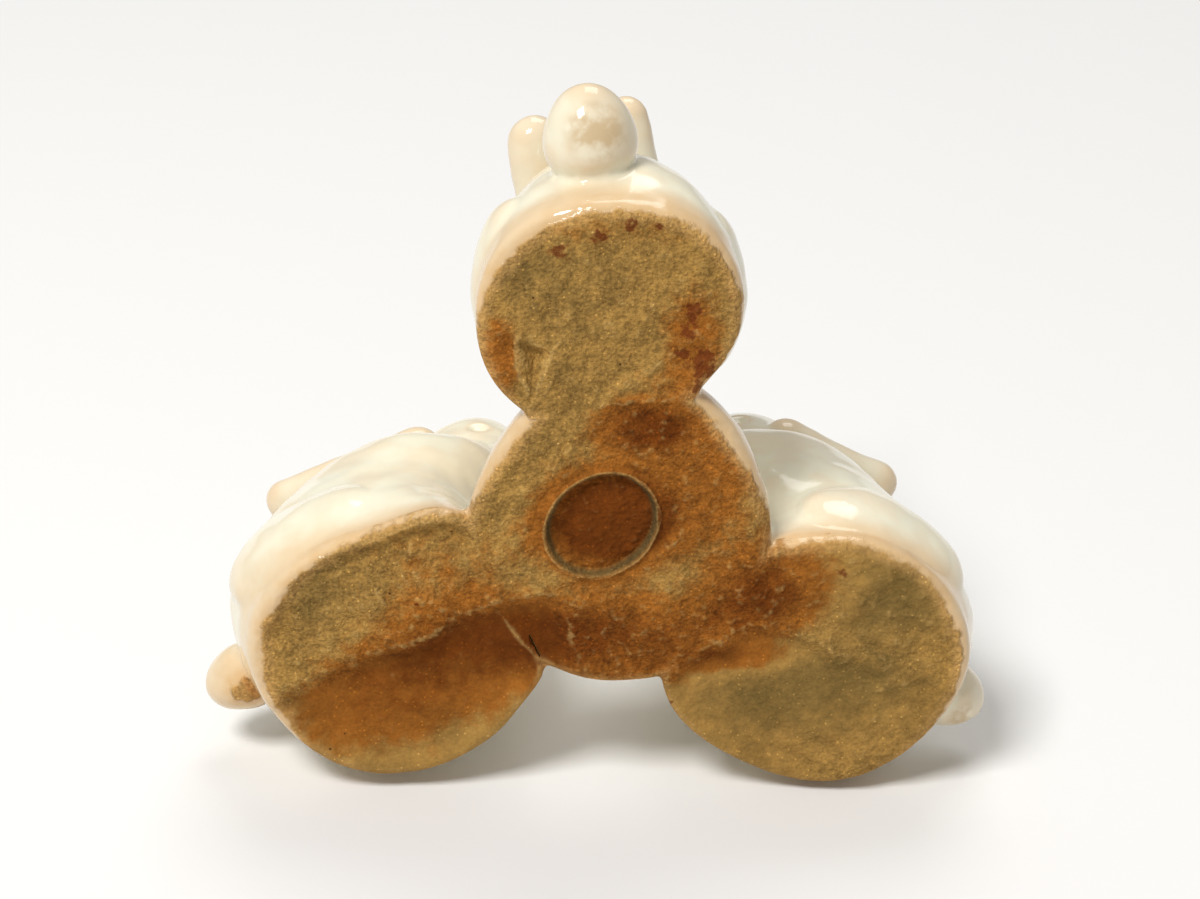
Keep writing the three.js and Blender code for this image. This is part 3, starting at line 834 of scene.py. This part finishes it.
def stoneware():
    """Sandy clay, toasted brown where it is bare, under a glossy cream glaze that breaks tan where thin."""
    material = bpy.data.materials.new("glazed_stoneware")
    material.use_nodes = True
    nodes = material.node_tree.nodes
    links = material.node_tree.links
    shader = nodes["Principled BSDF"]
    place = nodes.new("ShaderNodeTexCoord")

    def kept(name):
        """A value that was kept on the points."""
        node = nodes.new("ShaderNodeAttribute")
        node.attribute_name = name
        return node.outputs["Fac"]

    def speckle(pitch, detail=2.0):
        """Noise whose lumps are about the pitch apart, in millimetres."""
        node = nodes.new("ShaderNodeTexNoise")
        node.inputs["Scale"].default_value = 1 / (pitch * MM)
        node.inputs["Detail"].default_value = detail
        links.new(place.outputs["Object"], node.inputs["Vector"])
        return node.outputs["Fac"]

    def specks(pitch, radius, share):
        """Round specks of a radius in millimetres, about the pitch apart, of which only a share is there."""
        node = nodes.new("ShaderNodeTexVoronoi")
        node.inputs["Scale"].default_value = 1 / (pitch * MM)
        links.new(place.outputs["Object"], node.inputs["Vector"])
        there = between(node.outputs["Color"], 1 - share, 1.02 - share)
        dot = between(node.outputs["Distance"], radius / pitch, 0.5 * radius / pitch)
        return reckon("MULTIPLY", there, dot)

    def between(value, low, high, start=0.0, end=1.0):
        """Goes smoothly from start to end while the value goes from low to high."""
        node = nodes.new("ShaderNodeMapRange")
        node.interpolation_type = "SMOOTHSTEP"
        for socket, number in (("From Min", low), ("From Max", high), ("To Min", start), ("To Max", end)):
            node.inputs[socket].default_value = number
        links.new(value, node.inputs["Value"])
        return node.outputs["Result"]

    def reckon(operation, first, second):
        """Sum, difference or product of two values."""
        node = nodes.new("ShaderNodeMath")
        node.operation = operation
        for socket, value in zip(node.inputs, (first, second)):
            if isinstance(value, float):
                socket.default_value = value
            else:
                links.new(value, socket)
        return node.outputs["Value"]

    def mix(factor, first, second, kind="MIX"):
        """The first colour at 0, the second at 1."""
        node = nodes.new("ShaderNodeMix")
        node.data_type = "RGBA"
        node.blend_type = kind
        if isinstance(factor, float):
            node.inputs["Factor"].default_value = factor
        else:
            links.new(factor, node.inputs["Factor"])
        for socket, value in ((node.inputs["A"], first), (node.inputs["B"], second)):
            if isinstance(value, tuple):
                socket.default_value = value + (1.0,)
            else:
                links.new(value, socket)
        return node.outputs["Result"]

    # The wiped line wavers, and the glaze ends there within half a millimetre.
    edge = reckon("ADD", kept("bare"), between(speckle(1.1, 4), 0.3, 0.7, -0.16, 0.16))
    glazed = between(edge, -0.22, 0.22, 1.0, 0.0)

    # The glaze breaks tan on bulges and beside the wiped line.
    cream = mix(between(speckle(5, 3), 0.36, 0.64), CREAM, WARM_CREAM)
    cream = mix(between(kept("fullness"), 0.01, 0.13, 0.0, 0.6), cream, THIN_GLAZE)
    cream = mix(between(kept("fullness"), -0.03, -0.20, 0.0, 0.5), cream, POOLED_GLAZE)
    cream = mix(between(edge, -4.0, -0.8, 0.0, 0.85), cream, TAN_GLAZE)
    cream = mix(between(edge, -1.1, 0.0, 0.0, 0.75), cream, GLAZE_EDGE)
    sandy = reckon("MULTIPLY", kept("sandy"), between(speckle(1.6, 3), 0.3, 0.6))
    cream = mix(reckon("MULTIPLY", sandy, 0.75), cream, SANDY_GLAZE)
    cream = mix(specks(2.4, 0.16, 0.16), cream, GLAZE_SPECK)

    # The clay toasts from olive and sand to brown, with sandy grain, dark specks and rust.
    tone = reckon("ADD", kept("toast"), between(speckle(1.1, 3), 0.2, 0.8, -0.09, 0.09))
    clay_colour = mix(between(tone, -0.36, 0.04), OLIVE_CLAY, SAND_CLAY)
    clay_colour = mix(between(tone, 0.06, 0.40), clay_colour, TOASTED_CLAY)
    clay_colour = mix(between(tone, 0.40, 0.95), clay_colour, DARK_CLAY)
    clay_colour = mix(between(edge, 1.4, 0.1, 0.0, 0.55), clay_colour, TOUCHED_CLAY)
    # Bulges are lighter: partly clay rubbed smooth, partly a painted highlight where the crests catch the
    # light.
    clay_colour = mix(between(kept("fullness"), 0.01, 0.08, 0.0, 0.5), clay_colour, RUBBED_AND_HIGHLIT_CLAY)
    # Painted shade: the seal's wall is darkened as if it lay in shadow.
    clay_colour = mix(reckon("MULTIPLY", kept("wall_shade"), 0.8), clay_colour, WALL_SHADE)
    coarse = reckon("SUBTRACT", 1.0, reckon("MULTIPLY", kept("polish"), 0.6))
    grit = speckle(0.3, 2)
    sand = between(grit, 0.28, 0.72, -0.20, 0.26)
    grain = reckon("ADD", sand, between(speckle(0.9, 3), 0.3, 0.7, -0.15, 0.15))
    grain = reckon("ADD", reckon("MULTIPLY", grain, coarse), between(speckle(3.5, 3), 0.35, 0.65, 0.88, 1.12))
    grain = reckon("ADD", grain, reckon("MULTIPLY", specks(0.5, 0.12, 0.44), 0.7))
    clay_colour = mix(1.0, clay_colour, grain, "MULTIPLY")
    clay_colour = mix(specks(1.5, 0.15, 0.22), clay_colour, CLAY_SPECK)
    rust = reckon("ADD", kept("iron"), between(speckle(0.7, 4), 0.3, 0.7, -0.55, 0.35))
    clay_colour = mix(between(rust, 0.30, 0.80, 0.0, 0.8), clay_colour, RUST)

    # The clay is matt and gritty, and the glaze glossy with a slight ripple.
    links.new(mix(glazed, clay_colour, cream), shader.inputs["Base Color"])
    links.new(between(glazed, 0, 1, CLAY_ROUGHNESS, GLAZE_ROUGHNESS), shader.inputs["Roughness"])
    links.new(between(glazed, 0, 1, CLAY_SHINE, GLAZE_SHINE), shader.inputs["Specular IOR Level"])
    rough = reckon("MULTIPLY", reckon("ADD", grit, between(speckle(0.8, 2), 0.2, 0.8, 0.0, 0.8)), coarse)
    smooth = between(speckle(2.5, 1), 0.2, 0.8, 0.0, 0.10)
    bump = nodes.new("ShaderNodeBump")
    bump.inputs["Distance"].default_value = GRAIN_RELIEF * MM
    bump.inputs["Strength"].default_value = RELIEF_STRENGTH
    links.new(mix(glazed, rough, smooth), bump.inputs["Height"])
    links.new(bump.outputs["Normal"], shader.inputs["Normal"])
    return material


finish = stoneware()

# Pieces: the fired whole comes apart along its marks, and each piece is closed where it was luted to its
# neighbours. The joins don't show, because the skin's own direction is kept across them.
bpy.ops.object.select_all(action="DESELECT")
bpy.context.view_layer.objects.active = whole
whole.select_set(True)
bpy.ops.object.mode_set(mode="EDIT")
bpy.ops.mesh.select_all(action="SELECT")
bpy.ops.mesh.separate(type="MATERIAL")
bpy.ops.object.mode_set(mode="OBJECT")


def close_seams(form):
    """Closes each open rim of a piece with a fan of faces towards the rim's middle."""
    left = {edge for edge in form.edges if edge.is_boundary}
    while left:
        first = left.pop()
        rim = [first]
        waiting = list(first.verts)
        while waiting:
            for edge in waiting.pop().link_edges:
                if edge in left:
                    left.discard(edge)
                    rim.append(edge)
                    waiting.extend(edge.verts)
        middle = sum((vertex.co for edge in rim for vertex in edge.verts), Vector()) / (2 * len(rim))
        made = bmesh.ops.extrude_edge_only(form, edges=rim)["geom"]
        inner = [item for item in made if isinstance(item, bmesh.types.BMVert)]
        bmesh.ops.pointmerge(form, verts=inner, merge_co=middle)


for piece in list(bpy.context.selected_objects):
    label = marks[piece.data.materials[0].name]
    mesh = piece.data
    form = bmesh.new()
    form.from_mesh(mesh)
    close_seams(form)
    bmesh.ops.scale(form, vec=(MM, MM, MM), verts=form.verts)
    form.to_mesh(mesh)
    form.free()
    mesh.materials.clear()
    mesh.materials.append(finish)
    mesh.shade_smooth()
    skin = np.empty(len(mesh.vertices) * 3, np.float32)
    mesh.attributes["skin"].data.foreach_get("vector", skin)
    mesh.normals_split_custom_set_from_vertices(skin.reshape(-1, 3).tolist())
    mesh.attributes.remove(mesh.attributes["skin"])
    piece.name = label + "_fired"
    mesh.name = piece.name
    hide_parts(label)
    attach(piece, "root")

# Camera: it looks at the underside, tilted towards the single figure, as the photograph does.
# Its scale and the axis's place in the picture come from the photograph's frame of 1200 by 899.
CAMERA_DISTANCE = 231
CAMERA_TILT = math.radians(27)
PIXELS_PER_MM = 11.52
PHOTO_SIZE = (1200, 899)
AXIS_PIXEL = (606, 551)
SENSOR = 36

camera_data = bpy.data.cameras.new("camera")
camera_data.sensor_width = SENSOR
camera_data.lens = PIXELS_PER_MM * CAMERA_DISTANCE / PHOTO_SIZE[0] * SENSOR
camera_data.clip_start = 5 * MM
camera = bpy.data.objects.new("camera", camera_data)
bpy.context.scene.collection.objects.link(camera)
right = Vector((1, 0, 0))
up = Vector((0, -math.cos(CAMERA_TILT), math.sin(CAMERA_TILT)))
back = right.cross(up)
shift_right = (AXIS_PIXEL[0] - PHOTO_SIZE[0] / 2) / PIXELS_PER_MM
shift_up = (PHOTO_SIZE[1] / 2 - AXIS_PIXEL[1]) / PIXELS_PER_MM
camera_place = (AXIS + back * CAMERA_DISTANCE - right * shift_right - up * shift_up) * MM
camera.matrix_world = Matrix.Translation(camera_place) @ Matrix((right, up, back)).transposed().to_4x4()
bpy.context.scene.camera = camera

# Stage: a pale floor under the feet, which shows only from above, and a pale table, on which the rest lies
# with its underside to the camera. Each shows only from its front.
PALE = (0.80, 0.79, 0.77)
STAGE_HALF = 1.5
FLOOR_LEVEL = -0.05 * MM
TABLE_LEVEL = cad_box[1][1] + 0.2 * MM


def one_sided(name, colour):
    """A matt colour that shows only from its front."""
    material = bpy.data.materials.new(name)
    material.use_nodes = True
    nodes = material.node_tree.nodes
    links = material.node_tree.links
    shader = nodes["Principled BSDF"]
    shader.inputs["Base Color"].default_value = colour + (1.0,)
    shader.inputs["Roughness"].default_value = 0.9
    side = nodes.new("ShaderNodeNewGeometry")
    clear = nodes.new("ShaderNodeBsdfTransparent")
    choose = nodes.new("ShaderNodeMixShader")
    links.new(side.outputs["Backfacing"], choose.inputs["Fac"])
    links.new(shader.outputs["BSDF"], choose.inputs[1])
    links.new(clear.outputs["BSDF"], choose.inputs[2])
    links.new(choose.outputs["Shader"], nodes["Material Output"].inputs["Surface"])
    return material


def stage_plane(name, matrix):
    """A wide plane of the stage."""
    mesh = bpy.data.meshes.new(name)
    form = bmesh.new()
    bmesh.ops.create_grid(form, x_segments=1, y_segments=1, size=STAGE_HALF)
    bmesh.ops.transform(form, matrix=matrix, verts=form.verts)
    form.to_mesh(mesh)
    form.free()
    mesh.materials.append(one_sided(name + "_paint", PALE))
    plane = bpy.data.objects.new(name, mesh)
    bpy.context.scene.collection.objects.link(plane)
    plane.visible_shadow = False
    return plane


floor = stage_plane("floor", Matrix.Translation((0, 0, FLOOR_LEVEL)))
floor.visible_diffuse = False
floor.visible_glossy = False
stage_plane("table", Matrix.Translation((0, TABLE_LEVEL, 0)) @ Matrix.Rotation(math.radians(90), 4, "X"))

# Lamps: one straight above the picture lights the glaze, and one in front, from the upper left, slants across
# the underside, so that its relief shows. The world fills the shadows, and is white only to the camera.
WORLD_LIGHT = 0.33


def soft_lamp(name, place, size, power):
    """A square lamp that points at the object."""
    data = bpy.data.lights.new(name, "AREA")
    data.size = size
    data.energy = power
    lamp = bpy.data.objects.new(name, data)
    bpy.context.scene.collection.objects.link(lamp)
    aim = Vector((0, 0, HEIGHT / 2 * MM)) - Vector(place)
    lamp.matrix_world = Matrix.Translation(place) @ aim.to_track_quat("-Z", "Y").to_matrix().to_4x4()


soft_lamp("key_above", (0.1, -0.8, 0.5), 0.5, 2.6)
soft_lamp("window_front", (-0.35, -0.85, -0.42), 0.3, 9.1)

world = bpy.data.worlds.new("studio")
world.use_nodes = True
backdrop = world.node_tree.nodes["Background"]
backdrop.inputs["Color"].default_value = (1, 1, 1, 1)
ray = world.node_tree.nodes.new("ShaderNodeLightPath")
strength = world.node_tree.nodes.new("ShaderNodeMapRange")
strength.inputs["To Min"].default_value = WORLD_LIGHT
strength.inputs["To Max"].default_value = 1.0
world.node_tree.links.new(ray.outputs["Is Camera Ray"], strength.inputs["Value"])
world.node_tree.links.new(strength.outputs["Result"], backdrop.inputs["Strength"])
bpy.context.scene.world = world
bpy.context.scene.view_settings.view_transform = "Standard"
